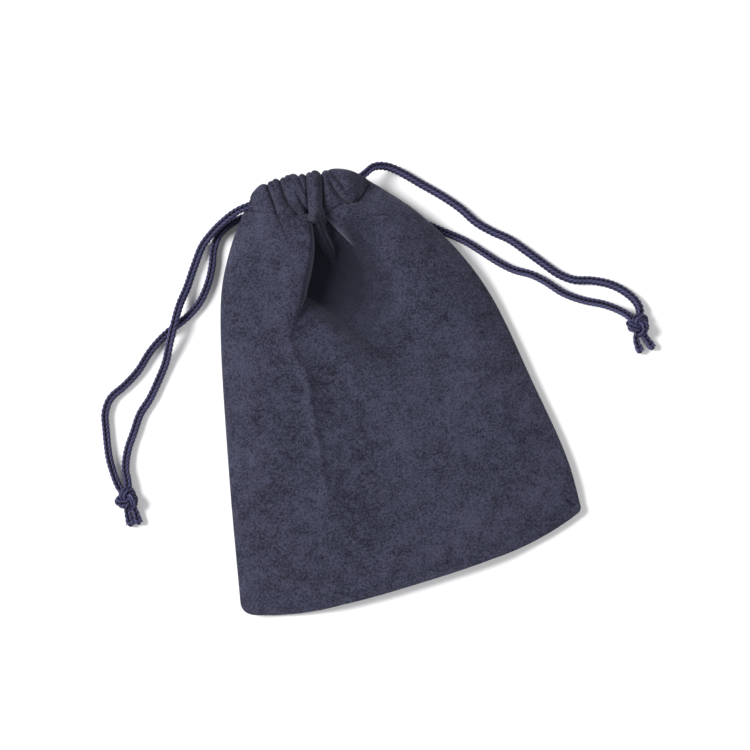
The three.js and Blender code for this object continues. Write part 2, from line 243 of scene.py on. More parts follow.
def knit_tree():
    """Rows of stitches along a curve, round a core whose colour is painted dark as shade, flaring towards the
    curve's end.
    """
    tree, given = new_tree("knitted_cord", [
        ("Geometry", "Geometry"), ("Row", "Object"), ("Pitch", "Float"), ("Core radius", "Float"),
        ("Width", "Float"), ("Flare", "Float"), ("Material", "Material")])
    path = given.out("Geometry")
    share = given.node("GeometryNodeSplineParameter")
    width = given.out("Width") * (1 + given.out("Flare") * share ** 3.0)
    kept = given.node("GeometryNodeCaptureAttribute")
    kept_node = kept.socket.node
    kept_node.capture_items.new("FLOAT", "Width")
    tree.links.new(path.socket, kept_node.inputs[0])
    tree.links.new(width.socket, kept_node.inputs[1])
    rows = given.node("GeometryNodeCurveToPoints", {
        "Curve": kept, "Length": given.out("Pitch")}, mode="LENGTH")
    row = given.node("GeometryNodeObjectInfo", {"Object": given.out("Row")}, out="Geometry")
    scale = given.node("ShaderNodeCombineXYZ", {0: Wire(tree, kept_node.outputs[1]),
                                                1: Wire(tree, kept_node.outputs[1]), 2: 1.0})
    knit = given.node("GeometryNodeInstanceOnPoints", {
        "Points": rows, "Instance": row, "Rotation": rows.out("Rotation"), "Scale": scale})
    ring = given.node("GeometryNodeCurvePrimitiveCircle", {
        "Resolution": 10, "Radius": given.out("Core radius") * given.out("Width")})
    core = given.node("GeometryNodeCurveToMesh", {"Curve": path, "Profile Curve": ring, "Fill Caps": True})
    # the core's depth of 1 paints its colour nearly black: painted shade between the stitches
    core = given.node("GeometryNodeStoreNamedAttribute", {
        "Geometry": core, "Name": "depth", "Value": 1.0}, data_type="FLOAT", domain="POINT")
    both = given.node("GeometryNodeJoinGeometry")
    for part in (core, knit):
        tree.links.new(part.socket, both.socket.node.inputs[0])
    whole = given.node("GeometryNodeRealizeInstances", {"Geometry": both})
    given.node("NodeGroupOutput", {0: given.node("GeometryNodeSetMaterial", {
        "Geometry": whole, "Material": given.out("Material")})})
    return tree


def grown(name, host, tree, values):
    """The plain mesh that a tree makes from a host object, with the tree's inputs given by name."""
    modifier = host.modifiers.new("nodes", "NODES")
    modifier.node_group = tree
    for item in tree.interface.items_tree:
        if item.in_out == "INPUT" and item.name in values:
            modifier[item.identifier] = values[item.name]
    host.update_tag()
    bpy.context.view_layer.update()
    ready = host.evaluated_get(bpy.context.evaluated_depsgraph_get())
    mesh = bpy.data.meshes.new_from_object(ready)
    bpy.data.objects.remove(host)
    mesh.name = name
    mesh.polygons.foreach_set("use_smooth", [True] * len(mesh.polygons))
    made = bpy.data.objects.new(name, mesh)
    scene.collection.objects.link(made)
    return made


def curve_object(points):
    curve = bpy.data.curves.new("path", "CURVE")
    curve.dimensions = "3D"
    spline = curve.splines.new("POLY")
    spline.points.add(len(points) - 1)
    spline.points.foreach_set("co", np.c_[points, np.ones(len(points))].ravel())
    made = bpy.data.objects.new("path", curve)
    scene.collection.objects.link(made)
    return made


round_of_stitches = stitch_row()
knitted_cord = knit_tree()


def knit(name, path, width=1.0, flare=0.0, pitch=stitch_pitch):
    made = grown(name, curve_object(path), knitted_cord, {
        "Row": round_of_stitches, "Pitch": pitch, "Core radius": 0.55 * MM, "Width": width,
        "Flare": flare, "Material": cord_yarn})
    return made


def joined(name, parts):
    """One mesh object made of several, in the first one's place."""
    points, faces, depth, count = [], [], [], 0
    for part in parts:
        points += [tuple(v.co) for v in part.data.vertices]
        faces += [[count + i for i in face.vertices] for face in part.data.polygons]
        # each part's depth, the painted shade of the knit, goes along; parts without it are painted no shade
        values = part.data.attributes.get("depth")
        depth += [v.value for v in values.data] if values else [0.0] * (len(points) - count)
        count = len(points)
    made = mesh_object(name, points, faces, cord_yarn)
    made.data.attributes.new("depth", "FLOAT", "POINT").data.foreach_set("value", depth)
    for part in parts:
        bpy.data.objects.remove(part)
    return made


def knot(name, middle, turn):
    """An overhand knot of both strands: two three-lobed turns, one inside the other, pulled tight. Each
    has its reach, its tilt from the other, and its lift."""
    a = np.linspace(0.25, 2 * math.pi - 0.25, 60)
    parts = []
    for reach, tilt, lift in ((2.25 * MM, 0.0, 0.15 * MM), (1.9 * MM, 0.62, -0.2 * MM)):
        x = reach * (np.sin(a) + 2 * np.sin(2 * a)) / 2.6
        y = reach * (np.cos(a) - 2 * np.cos(2 * a)) / 2.6
        z = lift - 1.15 * MM * np.sin(3 * a)
        swing = turn + tilt
        path = np.c_[x * math.cos(swing) - y * math.sin(swing),
                     x * math.sin(swing) + y * math.cos(swing), z]
        parts.append(knit(name, path + np.array(middle), width=0.82, pitch=0.95 * MM))
    return joined(name, parts)


def fray_tree():
    """Fine yarn ends that stand out of a cut cord, seeded on a small disc."""
    tree, given = new_tree("frayed_end", [
        ("Geometry", "Geometry"), ("Density", "Float"), ("Length", "Float"), ("Yarn radius", "Float"),
        ("Seed", "Int"), ("Material", "Material")])
    roots = given.node("GeometryNodeDistributePointsOnFaces", {
        "Mesh": given.out("Geometry"), "Density": given.out("Density"), "Seed": given.out("Seed")})
    turn = given.node("FunctionNodeRandomValue", {
        0: (-0.55, -0.55, 0), 1: (0.55, 0.55, 6.3), "Seed": given.out("Seed")}, data_type="FLOAT_VECTOR")
    size = given.node("FunctionNodeRandomValue", {
        2: 0.5, 3: 1.2, "Seed": given.out("Seed")}, out=1, data_type="FLOAT")
    yarn = given.node("GeometryNodeMeshCone", {
        "Vertices": 5, "Radius Top": given.out("Yarn radius") * 0.5,
        "Radius Bottom": given.out("Yarn radius"), "Depth": given.out("Length")})
    bent = given.node("FunctionNodeRotateRotation", {
        0: roots.out("Rotation"), 1: turn}, rotation_space="LOCAL")
    ends = given.node("GeometryNodeInstanceOnPoints", {
        "Points": roots, "Instance": yarn, "Rotation": bent, "Scale": size})
    whole = given.node("GeometryNodeRealizeInstances", {"Geometry": ends})
    given.node("NodeGroupOutput", {0: given.node("GeometryNodeSetMaterial", {
        "Geometry": whole, "Material": given.out("Material")})})
    return tree


frayed_end = fray_tree()
cut_back = 4


def tail(name, path, seed):
    """A cut end of cord: knitted to the cut, where it opens a little and its yarns fray."""
    path = smooth_path(path, 6)[:-cut_back]
    cloth_end = knit(name, path, width=0.86, flare=0.25)
    forward = (path[-1] - path[-2]) / np.linalg.norm(path[-1] - path[-2])
    across = np.cross(forward, (0, 0, 1))
    across /= np.linalg.norm(across)
    up = np.cross(across, forward)
    rim = [path[-1] + 1.15 * MM * (math.cos(a) * across + math.sin(a) * up)
           for a in np.linspace(0, 2 * math.pi, 12, endpoint=False)]
    disc = mesh_object("disc", rim, [range(11, -1, -1)])
    if disc.data.polygons[0].normal.dot(forward) < 0:
        disc.data.flip_normals()
    ends = grown("fray", disc, frayed_end, {
        "Density": 1.4e7, "Length": 1.1 * MM, "Yarn radius": 0.13 * MM, "Seed": seed, "Material": cord_yarn})
    return joined(name, [cloth_end, ends])


# The left cord leaves the front and the back casing at the left side of the mouth. The front strand
# passes over the back one on the way to the knot, and all of it moves when the knot is pulled.
cords = {
    "left": {
        "front": [
            (-0.0143, 0.0561, 0.00735), (-0.0173, 0.0559, 0.00725), (-0.0203, 0.0553, 0.0066),
            (-0.0241, 0.054, 0.0051), (-0.0277, 0.0523, 0.0034), (-0.0312, 0.0499, 0.002),
            (-0.0349, 0.0452, 0.0013), (-0.0386, 0.0398, 0.0017), (-0.0419, 0.0352, 0.0035),
            (-0.0446, 0.0306, 0.0043), (-0.0474, 0.0258, 0.0033), (-0.0502, 0.021, 0.0016),
            (-0.0534, 0.0169, 0.0013), (-0.0574, 0.0123, 0.0013), (-0.0612, 0.0089, 0.0013),
            (-0.0642, 0.0046, 0.0013), (-0.0672, 0.0002, 0.0014), (-0.0692, -0.0046, 0.0018),
            (-0.0697, -0.009, 0.0023)],
        "back": [
            (-0.0143, 0.0546, 0.00235), (-0.0173, 0.0546, 0.00235), (-0.0203, 0.0543, 0.002),
            (-0.0234, 0.0533, 0.0015), (-0.026, 0.0516, 0.0013), (-0.0282, 0.0484, 0.0013),
            (-0.03, 0.0439, 0.0013), (-0.0326, 0.0392, 0.0013), (-0.0362, 0.0349, 0.0013),
            (-0.0404, 0.032, 0.0013), (-0.0446, 0.0302, 0.0013), (-0.049, 0.0282, 0.0013),
            (-0.0536, 0.0252, 0.0013), (-0.0584, 0.0209, 0.0013), (-0.0631, 0.018, 0.0013),
            (-0.0678, 0.0157, 0.0013), (-0.0704, 0.0122, 0.0013), (-0.0716, 0.007, 0.0013),
            (-0.0728, -0.0005, 0.0014), (-0.0728, -0.0052, 0.0018), (-0.0724, -0.0091, 0.0023)],
        "knot": (-0.0711, -0.0132, 0.0025), "turn": 0.5, "lengths": (0.092, 0.0955),
        "tails": {"front": [(-0.0699, -0.017, 0.0016), (-0.0699, -0.0188, 0.0014), (-0.07, -0.021, 0.0013)],
                  "back": [(-0.0721, -0.0169, 0.0016), (-0.0722, -0.0188, 0.0014),
                           (-0.0722, -0.0208, 0.0013)]},
    },
    "right": {
        "front": [
            (0.0157, 0.054, 0.0082),
            (0.0187, 0.0556, 0.0065), (0.0222, 0.0573, 0.0049), (0.0258, 0.0567, 0.0034),
            (0.0292, 0.0543, 0.0022), (0.0338, 0.0495, 0.0014), (0.0385, 0.0444, 0.0013),
            (0.0424, 0.0394, 0.0013), (0.0456, 0.034, 0.0013), (0.0493, 0.03, 0.0013),
            (0.053, 0.0267, 0.0013), (0.0565, 0.0221, 0.0013), (0.0602, 0.017, 0.0013),
            (0.0634, 0.0128, 0.0013), (0.067, 0.01, 0.0013), (0.0716, 0.0084, 0.0013),
            (0.0761, 0.006, 0.0013), (0.0794, 0.0029, 0.0014), (0.0816, -0.0008, 0.0018),
            (0.082, -0.0037, 0.0022)],
        "back": [
            (0.0094, 0.0516, 0.00235), (0.0124, 0.0516, 0.0023), (0.0166, 0.0509, 0.0019),
            (0.021, 0.0478, 0.0014), (0.0262, 0.0427, 0.0013), (0.0312, 0.0382, 0.0013),
            (0.0368, 0.0334, 0.0013), (0.0407, 0.03, 0.0013), (0.0443, 0.0258, 0.0013),
            (0.0478, 0.0215, 0.0013), (0.0516, 0.0178, 0.0013), (0.0557, 0.0152, 0.0013),
            (0.0592, 0.0118, 0.0013), (0.0628, 0.0074, 0.0013), (0.0676, 0.0037, 0.0013),
            (0.0725, 0.001, 0.0014), (0.0759, -0.0017, 0.0018), (0.078, -0.004, 0.0022)],
        "knot": (0.0802, -0.0079, 0.0025), "turn": 2.2, "lengths": (0.0965, 0.0903),
        "tails": {"front": [(0.0811, -0.0118, 0.0016), (0.0817, -0.0136, 0.0014), (0.0822, -0.0158, 0.0013)],
                  "back": [(0.0784, -0.0116, 0.0016), (0.0784, -0.0136, 0.0014), (0.0784, -0.0156, 0.0013)]},
    },
}
seed = 0
for side, cord in cords.items():
    body = side + "_pull"
    tied = knot(side + "_knot_tied", cord["knot"], cord["turn"])
    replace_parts(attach(tied, body), side + "_cord_knot")
    middle = np.array(cord["knot"])
    ends = {}
    for layer, points in cord["tails"].items():
        seed += 1
        name = f"{side}_cord_{layer}_tail"
        into = middle + 0.55 * (np.array(points[0]) - middle)
        ends[layer] = tail(name + "_cut", [into, *points], seed)
        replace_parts(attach(ends[layer], body), name)
    for layer, length in zip(("front", "back"), cord["lengths"]):
        name = f"{side}_cord_{layer}_strand"
        route = smooth_path([*cord[layer], np.array(cord[layer][-1]) * 0.55 + middle * 0.45])
        strand = knit(name + "_knitted", route)
        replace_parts(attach(strand, body), name)

# ---- panels ----
# Two rectangles of navy microsuede, 0.8 mm thick, sewn right sides together at the sides and the bottom
# and turned out. At the mouth each is turned in as a 12 mm hem, and the cords gather it into pleats.
cloth = 0.8
hem_depth = 11.5
roll = 1.95
sheet_length = 116
left_edge = [(-49.9, -53.2), (-42.6, -16.5), (-33.8, 22), (-29.3, 35.9), (-24.4, 45), (-19.8, 51.4),
             (-16.2, 55.6), (-12.6, 59)]
right_edge = [(48.9, -53.2), (49.5, -38.5), (46.8, -14.3), (43.4, 11), (38.9, 24.8), (30.6, 40),
              (23.2, 48.9), (18.6, 53.6)]
front_edges = (left_edge, right_edge)
back_edges = (left_edge, right_edge[:-2] + [(20.5, 50), (12.5, 54.5)])
bottom_bow = 6.55
edge_turn, edge_pull = 1.3, 0.55
back_casing_height = 2.35


def ease(x, low, high):
    share = np.clip((x - low) / (high - low), 0, 1)
    return share * share * (3 - 2 * share)


def mix(a, b, share):
    return a + (b - a) * share


def edge_rise(share):
    """How a panel rises from its seam, from 0 to 1."""
    return (1 - (1 - np.clip(share, 0, 1)) ** 3) ** 0.6


def spread(count, density):
    """Places from 0 to 1, closer together where density(place) is larger."""
    fine = np.linspace(0, 1, 2000)
    run = np.concatenate([[0], np.cumsum(density((fine[1:] + fine[:-1]) / 2))])
    return np.interp(np.linspace(0, run[-1], count), run, fine)


def measured(path, x, y, reach):
    """How far each place lies from a path of (x, y, size), left of it being positive, with the path's
    size there and the way across it. Places further off than reach are left out."""
    path = smooth_path(path, 5)
    start, step = path[:-1, :2], np.diff(path[:, :2], axis=0)
    near = np.nonzero((x > path[:, 0].min() - reach) & (x < path[:, 0].max() + reach)
                      & (y > path[:, 1].min() - reach) & (y < path[:, 1].max() + reach))
    off = np.stack([x[near], y[near]], -1)[:, None] - start
    share = np.clip((off * step).sum(-1) / (step * step).sum(-1), 0, 1)
    off = off - share[..., None] * step
    best = np.hypot(off[..., 0], off[..., 1]).argmin(1)
    each = np.arange(len(best))
    off, share = off[each, best], share[each, best]
    ahead = step[best] / np.linalg.norm(step[best], axis=1)[:, None]
    beside = ahead[:, 0] * off[:, 1] - ahead[:, 1] * off[:, 0]
    distance = np.hypot(off[:, 0], off[:, 1]) * np.where(beside < 0, -1, 1)
    size = mix(path[best, 2], path[best + 1, 2], share)
    return near, distance, size, np.stack([-ahead[:, 1], ahead[:, 0]], -1)


def crease(z, x, y, path, width):
    """A fold line: the cloth sinks into it from both sides, or with a negative size stands up in it."""
    near, distance, size, _ = measured(path, x, y, 8 * width)
    z[near] -= size * np.exp(-np.abs(distance) / width)


def swell(z, x, y, path, width):
    """A soft rise along a path."""
    near, distance, size, _ = measured(path, x, y, 3 * width)
    z[near] += size * np.exp(-(distance / width) ** 2)


def plan(share, t, edges):
    """Where the sheet lies, seen from above: share runs from the left edge to the right, t from the
    bottom seam to the mouth."""
    found = []
    for edge in edges:
        edge = smooth_path(edge)
        run = np.concatenate([[0], np.cumsum(np.linalg.norm(np.diff(edge, axis=0), axis=1))])
        found.append([np.interp(t, run / run[-1], edge[:, k]) for k in (0, 1)])
    (left_x, left_y), (right_x, right_y) = found
    return mix(left_x, right_x, share), mix(left_y, right_y, share), right_x - left_x


def rounded_corners(x, y, share, width, from_bottom):
    """The two bottom corners, which turn over a small radius."""
    for side, radius in ((1, 3.4), (-1, 1.4)):
        inset = width * (share if side == 1 else 1 - share)
        a, b = (np.clip(1 - edge / radius, 0, 1) for edge in (inset, from_bottom))
        x = x + side * radius * a * (1 - np.sqrt(1 - b * b / 2))
        y = y + radius * b * (1 - np.sqrt(1 - a * a / 2))
    return x, y


def seam_height(y):
    """The seams lie low on the body of the pouch and rise to the gathered neck."""
    return mix(1.9, 4.75, ease(y, 3, 45))


def laid_out(share, turned, edges, top_bow, bow_from, pull_fades):
    """A hemmed sheet seen from above: share across, and turned, how far each place lies from the fold of
    the hem in millimetres along the cloth, negative inside. The sewn edges turn under a little. Gives the
    place, share again as -1 to 1, the turn of the hem, and how far below it and above the seam it is."""
    around = np.clip(turned / roll, -math.pi / 2, math.pi / 2)
    below = np.maximum(np.abs(turned) - roll * math.pi / 2, 0) + roll * (1 - np.cos(around))
    t = np.clip(1 - below / sheet_length, 0, 1)
    x, y, width = plan(share, t, edges)
    s = 2 * share - 1
    y = y - bottom_bow * (1 - np.abs(s) ** 3) * (1 - t) ** 3 * ease(-y, -20, 55)
    y = y + top_bow * (1 - s ** 4) * ease(t, bow_from, 1)
    inset = np.maximum(0, 1 - (1 - np.abs(s)) * width / 2 / edge_turn)
    x = x - np.sign(s) * edge_pull * inset ** 2 * (1 - ease(y, *pull_fades))
    from_bottom = t * sheet_length
    y = y + edge_pull * np.maximum(0, 1 - from_bottom / edge_turn) ** 2
    x, y = rounded_corners(x, y, share, width, from_bottom)
    return x, y, s, around, below, from_bottom


# The gathers of the front panel, from the left to the right: (x, y, depth) along each, and its width.
front_creases = [
    ([(-8.5, 61, 2.6), (-8.5, 58.9, 3), (-8.3, 55.4, 3), (-8.2, 50.4, 2.2), (-7.9, 46.8, 1.1),
      (-7.6, 43, 0.5), (-7.4, 40, 0)], 0.55),
    ([(-6.9, 61, 1.4), (-6.8, 58, 1.6), (-6.6, 56, 0)], 0.35),
    ([(-4.8, 61, 3), (-4.9, 58.7, 3.6), (-4.5, 53, 3.2), (-2.9, 48.9, 2), (-2.2, 47.2, 0)], 0.5),
    ([(-3.3, 61, 1.6), (-3.4, 58.2, 1.6), (-3.2, 56.2, 0)], 0.35),
    ([(-1.9, 60.6, 0.7), (-1.7, 58, 0.6), (-1.6, 57, 0)], 0.4),
    ([(-1.6, 55, 0), (-1.2, 53, 1.8), (-0.8, 51.3, 2.6), (0, 48.4, 2.2), (0.3, 47, 0)], 0.45),
    ([(0.5, 61, 3), (0.5, 58.4, 2.8), (0.6, 55.5, 1.4), (0.7, 53.5, 0)], 0.45),
    ([(2.5, 60.5, 3), (2.4, 57.9, 3.4), (2, 56, 2.4), (1.1, 52, 3), (0.4, 48.1, 3.4), (0.1, 46, 1.5),
      (0.1, 45, 0)], 0.45),
    ([(3.8, 60.4, 1.6), (4.4, 58, 1.6), (5, 56.8, 0)], 0.35),
    ([(6.8, 60, 4), (6.6, 56.6, 4.4), (5.6, 52.7, 4.4), (4.6, 49.2, 4), (4, 46.4, 2.4), (3.9, 44, 0)], 0.5),
    ([(7.9, 59.8, 0), (9.2, 57.6, 2.4), (10.6, 54.8, 3.2), (11.4, 52.2, 2.6), (11.9, 50.6, 0)], 0.5),
    ([(8.1, 56.2, 0), (8.7, 53.6, 2.4), (9.7, 50.9, 3.2), (11.1, 48.8, 3.4), (12.5, 47.7, 3.2),
      (14.1, 47.5, 2.6), (16, 49.2, 2), (18.6, 52, 1)], 0.6),
    # the side and bottom seams' turned-in edges, pressed through the cloth
    ([(-45, -53.6, 0), (-41, -55.6, 0.9), (-33, -56.6, 0.9), (-10, -57.2, 0.9), (11, -56.6, 0.9),
      (26, -55.2, 0.9), (40, -52.8, 0.8), (45, -51.6, 0)], 0.5),
    ([(48.2, -52, 0), (46.8, -50.5, 1.6), (45.6, -48.8, 0.8), (44.6, -47.2, 0)], 0.8),
    # the long soft fold down the left, and the slight one at the right
    ([(-13.9, 18.2, 0), (-15.4, 15.4, -1.2), (-15, 11.2, -1.7), (-13.7, 4.1, -1.8), (-14.4, -2.3, -1.7),
      (-16, -14, -1.4), (-17.3, -25.6, -1), (-18.4, -36, 0)], 2.0),
    ([(43.5, -8.6, 0), (32.4, -10.1, -1.1), (21, -11.6, 0)], 1.8),
]
casing_creases = 10
notch_share = 0.45
front_swells = [
    ([(4.7, 58.6, 0.8), (3.6, 52, 1), (2.2, 46.5, 1.4)], 1.7),
    ([(1.8, 48, 0), (2, 44.8, 4.6), (2.2, 41.9, 4.8), (2.8, 38.4, 4), (3, 35, 2.4), (3.4, 31, 1),
      (5, 25, 0)], 1.1),
    ([(12, 57.5, 0.6), (13.8, 53.6, 1.6), (14.2, 50.6, 1.2)], 2.6),
    ([(9.2, 55, 0), (10, 53, 0.8), (11.2, 50.6, 0.8), (12.2, 49.4, 0)], 0.8),
    ([(-8, 27, 0), (-6.4, 23, 0.5), (-2.5, 18.8, 0.6), (4, 16, 0)], 2.4),
    ([(-3.5, 44, 0), (-6.2, 36, 1.2), (-10, 28, 1.5), (-13, 21.5, 1.2), (-15.4, 15, 0)], 4.0),
    ([(-40, -56.4, 0), (-28, -56.1, 0.25), (0, -56.3, 0.25), (24, -54.6, 0.25), (42, -52.2, 0)], 1.0),
]
# The two edges that hang over the hollow under the mouth: the lip of the left half, as (x, y, depth of
# the hollow), and the flank of the right half, as (x, y, share of that depth it stands up again).
hollow_depth, hollow_reach = 8.2, 26
edge_falls, edge_leans = (-0.2, 0.9), 0.85
lip = [(-0.2, 49.5, 0), (-0.8, 47.8, 4), (-1.3, 45.3, 6.4), (-2.4, 40, 7.8), (-3.8, 36.4, 8.2),
       (-5.1, 33.8, 8.2), (-6.5, 31.4, 8.2), (-7.7, 29.2, 7.4), (-8.7, 27, 5), (-9.7, 25, 2.4),
       (-11.6, 21.7, 1.1), (-14.2, 17.8, 0.4), (-15.8, 15, 0)]
flank = [(4.3, 50.4, 1), (4.5, 49.1, 1), (6.2, 46.4, 1), (8.5, 42.2, 0.95), (10, 39.3, 0.55),
         (11.4, 36.7, 0.15), (13.4, 33.6, 0)]
# Where the hollow goes on, below the lip and past the flank.
front_troughs = [
    ([(-3, 33, 0), (-3.6, 28, 1.8), (-1.8, 23.5, 3.8), (1.5, 19, 4.2), (4.5, 13, 3.2), (8, 6, 1),
      (10, 1, 0)], 5.0),
    ([(6, 41, 0), (8, 35, 2.4), (9.5, 28, 3.4), (11, 21, 3.6), (12.5, 13, 2.8), (15, 5, 1),
      (17, -1, 0)], 7.0),
]
seam_gap = 0.42
body_crown, neck_crown = 5.5, 7.25
wave_height = 0.13
hem_above = 0.45
# Where the front hem is sewn down, from the left to the right; the middle pleat hangs lowest.
front_stitch_line = [
    (-17, 55.6), (-14.5, 54.4), (-12.6, 53.2), (-10, 51.7), (-7.6, 50.2), (-5, 49), (-2.6, 48.3), (-0.2, 48),
    (0.5, 46.2), (1.7, 45.4), (3.2, 45.6), (4.4, 47.2), (6.4, 47.2), (9.7, 47.8), (12.1, 47.2), (14.2, 47.2),
    (16, 48.9), (18.6, 51.8)]


def arch(x):
    """Height of the middle of the front casing."""
    return 7.35 + 4.65 * (1 - np.minimum(1, np.abs(x - 2.35) / 16.35) ** 2.2)


def front_place(share, turned):
    """The front sheet in three dimensions, and how far each place has dropped into the hollow."""
    x, y, s, around, below, from_bottom = laid_out(share, turned, front_edges, 3.1, 0.72, (50, 56))
    seam = seam_height(y)
    from_side = edge_rise(1 - np.abs(s))
    crown = mix(body_crown, neck_crown, ease(y, -16, 49)) - seam_gap
    panel = seam + seam_gap + crown * from_side * edge_rise(from_bottom / 62)
    z = mix(panel, arch(x), ease(y, 43, 54))
    waves = np.zeros_like(z)
    for run_x, run_y, start in ((0.21, 0.07, 0.4), (-0.12, 0.24, 2.1), (0.05, -0.31, 4.0), (0.33, 0.19, 1.2)):
        waves += np.sin(run_x * x + run_y * y + start)
    z += wave_height * waves * from_side * edge_rise(from_bottom / 30)
    for path, width in front_creases:
        crease(z, x, y, path, width)
    for path, width in front_swells:
        swell(z, x, y, path, width)
    # the hollow, and the lip and the flank, which lean out over it
    hollow, lean_x, lean_y = (np.zeros_like(z) for _ in range(3))
    near, distance, size, _ = measured(lip, x, y, hollow_reach)
    hollow[near] = size * ease(distance, *edge_falls) * (1 - ease(distance, 2, 28))
    for path, low_side, full in ((lip, 1, 4), (flank, -1, 1)):
        near, distance, size, across = measured(path, x, y, hollow_reach)
        down = distance * low_side
        if low_side < 0:
            hollow[near] *= 1 - size * (1 - ease(down, *edge_falls))
        lean = np.where(down < 0.4, np.exp(-(np.minimum(down - 0.4, 0) / 1.5) ** 2),
                        mix(1, -1, ease(down, 0.4, 1.4)))
        lean = lean * np.where(down > 1.4, np.exp(-((down - 1.4) / 1.2) ** 2), 1) * low_side
        lean *= edge_leans * np.minimum(1, size / full) * ease(y[near], 49.5, 46)
        lean_x[near] += lean * across[:, 0]
        lean_y[near] += lean * across[:, 1]
    beyond_flank = np.zeros_like(z)
    for path, width in front_troughs:
        swell(beyond_flank, x, y, path, width)
    hollow = np.maximum(hollow, 0) + beyond_flank
    pleat_hangs = ease(np.abs(x - 2 - 0.12 * (y - 45)), 2.1, 1.5) * ease(y, 45.2, 46)
    hollow *= 1 - pleat_hangs
    z -= hollow
    deep = np.maximum(0, 4.4 - z) * ease(np.abs(s), 0.75, 0.4)
    z += deep - deep / (1 + deep)
    # the hem, sewn down along its stitch line and notched by the gathers at its fold
    above = y - np.interp(x, *zip(*front_stitch_line))
    at_pleat = np.exp(-((x - 2.1) / 2.2) ** 2)
    bulge = roll * np.clip(above / mix(8, 2.4, at_pleat), 0, 1) ** 0.8 * ease(above, -0.1, 0.5)
    z = z + np.sin(around) * bulge - np.where(turned < 0, hem_above, 0) * (1 - np.cos(around))
    z -= mix(0.5, 1.0, at_pleat) * np.exp(-np.abs(above) / 0.4) * (1 - ease(x, 11, 14)) * (turned > 0)
    notch = np.zeros_like(z)
    for path, width in front_creases[:casing_creases]:
        crease(notch, x, y, path, width * 1.3)
    y = y + notch_share * notch * np.exp(-below / 1.6)
    return np.stack([x + lean_x, y + lean_y, z], -1), hollow


def shell_layers(middle, thickness):
    """The two faces of a sheet round its middle surface, whose rows run up and columns to the right."""
    across = np.gradient(middle, axis=1)
    along = np.gradient(middle, axis=0)
    normal = np.cross(across, along)
    normal /= np.linalg.norm(normal, axis=-1)[..., None] + 1e-9
    return middle + normal * thickness / 2, middle - normal * thickness / 2


def blurred(field, reach):
    """The field averaged over a square of its grid, reach steps to each side."""
    kernel = np.ones(2 * reach + 1) / (2 * reach + 1)
    for axis in (0, 1):
        wide = np.pad(field, [(reach, reach) if k == axis else (0, 0) for k in (0, 1)], "edge")
        field = np.apply_along_axis(np.convolve, axis, wide, kernel, "valid")
    return field


def painted_fold_shade(middle, hollow):
    """How far each place of a sheet lies down in a fold or in the hollow, from 0 to 1. The colour is
    painted that much darker there as shade."""
    z = middle[..., 2]
    narrow = (blurred(z, 4) - z - 0.1) / 0.8
    return blurred(np.clip(np.maximum(narrow, hollow / hollow_depth), 0, 1), 1)


def shell_part(name, upper, lower, columns, material, fold=None):
    """One closed piece of the sheet, between two of its columns, with its cut edges left sharp."""
    upper, lower = upper[:, columns], lower[:, columns]
    rows, count = upper.shape[:2]
    index = np.arange(rows * count).reshape(rows, count)
    under = index + rows * count

    def quads(grid, flip):
        a, b, c, d = grid[:-1, :-1], grid[:-1, 1:], grid[1:, 1:], grid[1:, :-1]
        order = (a, d, c, b) if flip else (a, b, c, d)
        return np.stack(order, -1).reshape(-1, 4)

    rim = np.concatenate([index[0, :-1], index[:-1, -1], index[-1, :0:-1], index[:0:-1, 0]])
    rim_under = rim + rows * count
    wall = np.stack([np.roll(rim, -1), rim, rim_under, np.roll(rim_under, -1)], -1)
    faces = np.concatenate([quads(index, False), quads(under, True), wall])
    points = np.concatenate([upper.reshape(-1, 3), lower.reshape(-1, 3)]) * MM
    made = mesh_object(name, points, faces, material)
    mesh = made.data
    sharp = {tuple(sorted(pair)) for ring in (rim, rim_under) for pair in zip(ring, np.roll(ring, -1))}
    mark = mesh.attributes.new("sharp_edge", "BOOLEAN", "EDGE")
    mark.data.foreach_set("value", [tuple(sorted(edge.vertices)) in sharp for edge in mesh.edges])
    # painted shade of the folds and the hollow, kept as an attribute that darkens the colour
    if fold is not None:
        mesh.attributes.new("fold", "FLOAT", "POINT").data.foreach_set(
            "value", np.tile(fold[:, columns].ravel(), 2).astype(np.float32))
    return made


def suede_look(start):
    place = start.node("ShaderNodeTexCoord", out=3)
    patches = noise(start, place, 55, 3, 0.6)
    brushed = noise(start, place, 260, 3, 0.6)
    grain = noise(start, place, 1700, 4, 0.75)
    # the attribute read next paints shade into the creases and the hollow: it darkens the colour by up to
    # nine tenths
    fold = start.node("ShaderNodeAttribute", out=2, attribute_name="fold")
    level = (patches * 0.9 + brushed * 1.1 + grain * 3.6 - 2.3) * (1 - fold * 0.9)
    colour = shaded(start, level, (0.006, 0.0064, 0.0125), (0.041, 0.0422, 0.07))
    bump = start.node("ShaderNodeBump", {
        "Strength": 0.4, "Distance": 0.0002, "Height": grain + brushed * 0.4})
    return ({"Specular IOR Level": 0.15, "Sheen Weight": 0.22, "Sheen Roughness": 0.45,
             "Sheen Tint": (0.62, 0.64, 0.85, 1)},
            {"Base Color": colour, "Roughness": grain * 0.15 + 0.82, "Normal": bump})


suede = finish_material("navy_microsuede", (0.05, 0.052, 0.085), suede_look)
across = spread(233, lambda place: 1 + 3 * np.exp(-np.minimum(place, 1 - place) / 0.012)
                + 0.5 * np.exp(-((place - 0.45) / 0.16) ** 2))
inner_length = hem_depth + roll * math.pi / 2 - roll
outer_length = sheet_length + roll * math.pi / 2 - roll
along = outer_length - (outer_length + inner_length) * spread(
    330, lambda place: 1 + 2.6 * ease(place, 0.6, 0.8) + 3 * np.exp(-place / 0.01))
front_middle, hollow = front_place(*np.meshgrid(across, along))
upper, lower = shell_layers(front_middle, cloth)
split = int(np.searchsorted(across, 0.47))
